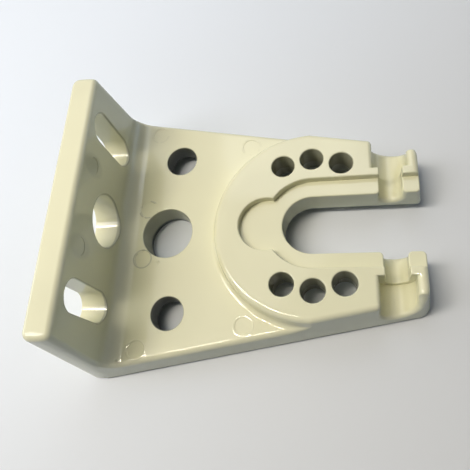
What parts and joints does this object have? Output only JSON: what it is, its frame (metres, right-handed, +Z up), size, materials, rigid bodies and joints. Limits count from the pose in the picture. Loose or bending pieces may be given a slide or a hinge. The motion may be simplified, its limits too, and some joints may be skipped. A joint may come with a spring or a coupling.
{
  "type": "awning bracket",
  "caption": "Cast wall bracket for an awning: upright flange with long holes, tapering plate and two hooked arms round a U-slot.",
  "frame": {"origin": "on the underside, in the plane of symmetry, straight below the flange's inner face", "axes": "+X from the flange to the arm ends, +Y to the far side, +Z up through the plate; symmetric across Y = 0"},
  "size_m": [0.1239, 0.1082, 0.048],
  "materials": {
    "cream_powder_coat": "gloss"
  },
  "bodies": {
    "root": {"bracket_casting": "cream_powder_coat"}
  },
  "joints": []
}
